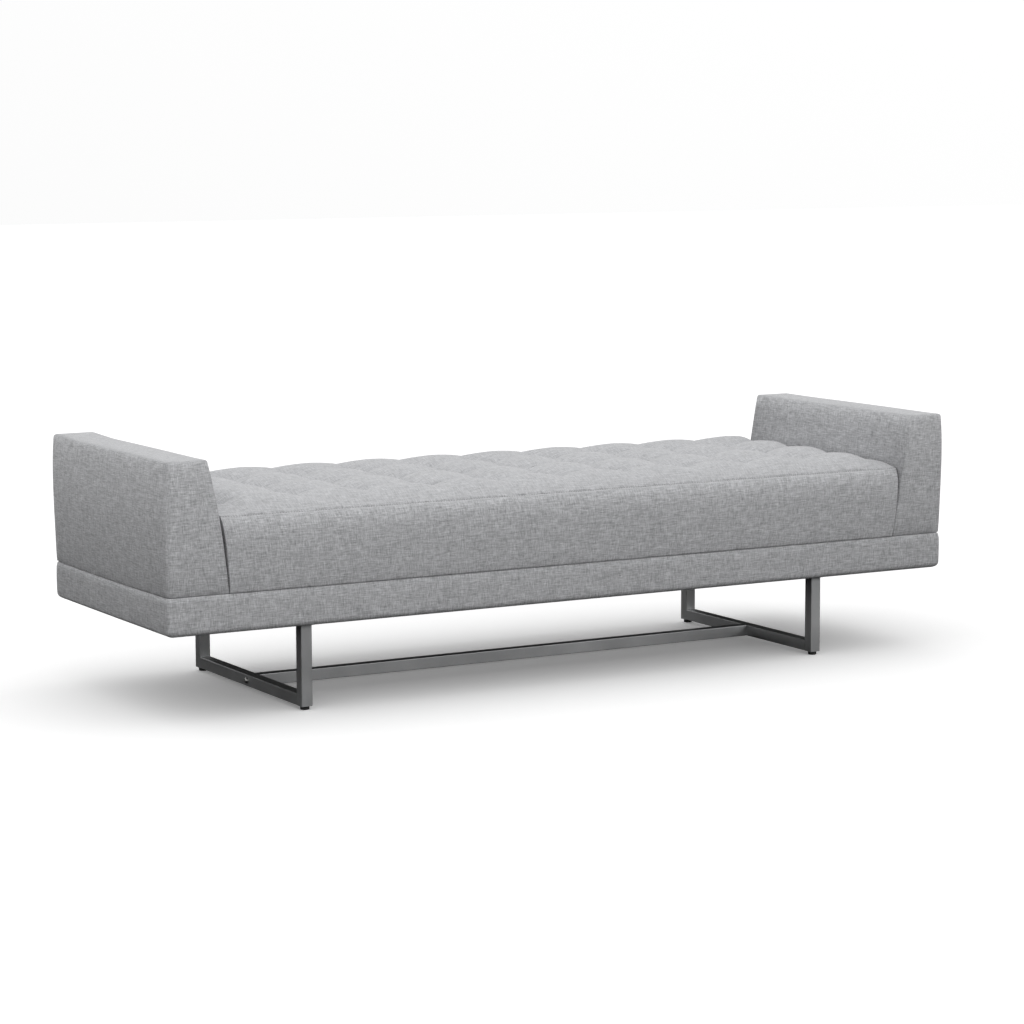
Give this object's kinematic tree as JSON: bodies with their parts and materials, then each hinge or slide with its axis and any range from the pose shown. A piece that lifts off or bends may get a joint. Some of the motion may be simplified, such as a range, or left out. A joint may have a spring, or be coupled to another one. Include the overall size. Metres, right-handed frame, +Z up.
{
  "type": "upholstered daybed",
  "caption": "Upholstered daybed with a tufted loose mattress between two low leaning arms, on a steel sled base with levelling feet.",
  "frame": {"origin": "on the floor under the middle of the daybed", "axes": "+X along the length, from the left arm to the right arm; +Y from the front to the back; +Z up"},
  "size_m": [1.96, 0.63, 0.5464],
  "materials": {
    "grey_upholstery": "matte",
    "foam": "matte",
    "black_cloth": "matte",
    "thread": "matte",
    "gunmetal_steel": "satin",
    "zinc_steel": "satin",
    "black_plastic": "matte",
    "softwood": "matte",
    "plywood": "matte"
  },
  "bodies": {
    "frame": {"arm_bolts": "zinc_steel", "back_band": "grey_upholstery", "back_rail": "softwood", "base_screws": "zinc_steel", "centre_rail": "softwood", "corner_blocks": "softwood", "deck_cloth": "black_cloth", "deck_panel": "plywood", "dust_cover": "black_cloth", "foot_inserts": "zinc_steel", "front_band": "grey_upholstery", "front_rail": "softwood", "left_arm_back_gusset": "plywood", "left_arm_base": "plywood", "left_arm_bearer": "softwood", "left_arm_cover": "grey_upholstery", "left_arm_front_gusset": "plywood", "left_arm_inner_panel": "plywood", "left_arm_outer_panel": "plywood", "left_arm_padding": "foam", "left_arm_top": "plywood", "left_back_leg": "gunmetal_steel", "left_band": "grey_upholstery", "left_base_rail": "softwood", "left_end_rail": "softwood", "left_front_leg": "gunmetal_steel", "left_runner": "gunmetal_steel", "left_top_plate": "gunmetal_steel", "right_arm_back_gusset": "plywood", "right_arm_base": "plywood", "right_arm_bearer": "softwood", "right_arm_cover": "grey_upholstery", "right_arm_front_gusset": "plywood", "right_arm_inner_panel": "plywood", "right_arm_outer_panel": "plywood", "right_arm_padding": "foam", "right_arm_top": "plywood", "right_back_leg": "gunmetal_steel", "right_band": "grey_upholstery", "right_base_rail": "softwood", "right_end_rail": "softwood", "right_front_leg": "gunmetal_steel", "right_runner": "gunmetal_steel", "right_top_plate": "gunmetal_steel", "stretcher": "gunmetal_steel", "stretcher_bolts": "zinc_steel", "stretcher_plugs": "zinc_steel"},
    "mattress": {"mattress_core": "foam", "mattress_top_panel": "grey_upholstery", "mattress_border": "grey_upholstery", "mattress_bottom_panel": "grey_upholstery", "tuft_ties": "thread"},
    "left_front_pad": {"left_front_foot_pad": "black_plastic"},
    "left_front_stud": {"left_front_foot_stud": "zinc_steel"},
    "left_back_pad": {"left_back_foot_pad": "black_plastic"},
    "left_back_stud": {"left_back_foot_stud": "zinc_steel"},
    "right_front_pad": {"right_front_foot_pad": "black_plastic"},
    "right_front_stud": {"right_front_foot_stud": "zinc_steel"},
    "right_back_pad": {"right_back_foot_pad": "black_plastic"},
    "right_back_stud": {"right_back_foot_stud": "zinc_steel"}
  },
  "joints": [
    {"name": "mattress_lift", "type": "slide", "parent": "frame", "child": "mattress", "axis": [0, 0, 1], "range_m": [0, 0.3]},
    {"name": "left_front_foot_travel", "type": "slide", "parent": "frame", "child": "left_front_pad", "axis": [0, 0, -1], "range_m": [0, 0.012]},
    {"name": "left_front_stud_turn", "type": "hinge", "parent": "left_front_pad", "child": "left_front_stud", "pos_m": [-0.6523, -0.2652, 0.01], "axis": [0, 0, -1], "range_deg": [0, 3456]},
    {"name": "left_back_foot_travel", "type": "slide", "parent": "frame", "child": "left_back_pad", "axis": [0, 0, -1], "range_m": [0, 0.012]},
    {"name": "left_back_stud_turn", "type": "hinge", "parent": "left_back_pad", "child": "left_back_stud", "pos_m": [-0.6523, 0.2652, 0.01], "axis": [0, 0, -1], "range_deg": [0, 3456]},
    {"name": "right_front_foot_travel", "type": "slide", "parent": "frame", "child": "right_front_pad", "axis": [0, 0, -1], "range_m": [0, 0.012]},
    {"name": "right_front_stud_turn", "type": "hinge", "parent": "right_front_pad", "child": "right_front_stud", "pos_m": [0.6523, -0.2652, 0.01], "axis": [0, 0, -1], "range_deg": [0, 3456]},
    {"name": "right_back_foot_travel", "type": "slide", "parent": "frame", "child": "right_back_pad", "axis": [0, 0, -1], "range_m": [0, 0.012]},
    {"name": "right_back_stud_turn", "type": "hinge", "parent": "right_back_pad", "child": "right_back_stud", "pos_m": [0.6523, 0.2652, 0.01], "axis": [0, 0, -1], "range_deg": [0, 3456]}
  ],
  "couplings": [
    {"joint": "left_front_stud_turn", "follows": "left_front_foot_travel", "rad_per_m": 5026.5},
    {"joint": "left_back_stud_turn", "follows": "left_back_foot_travel", "rad_per_m": 5026.5},
    {"joint": "right_front_stud_turn", "follows": "right_front_foot_travel", "rad_per_m": 5026.5},
    {"joint": "right_back_stud_turn", "follows": "right_back_foot_travel", "rad_per_m": 5026.5}
  ]
}
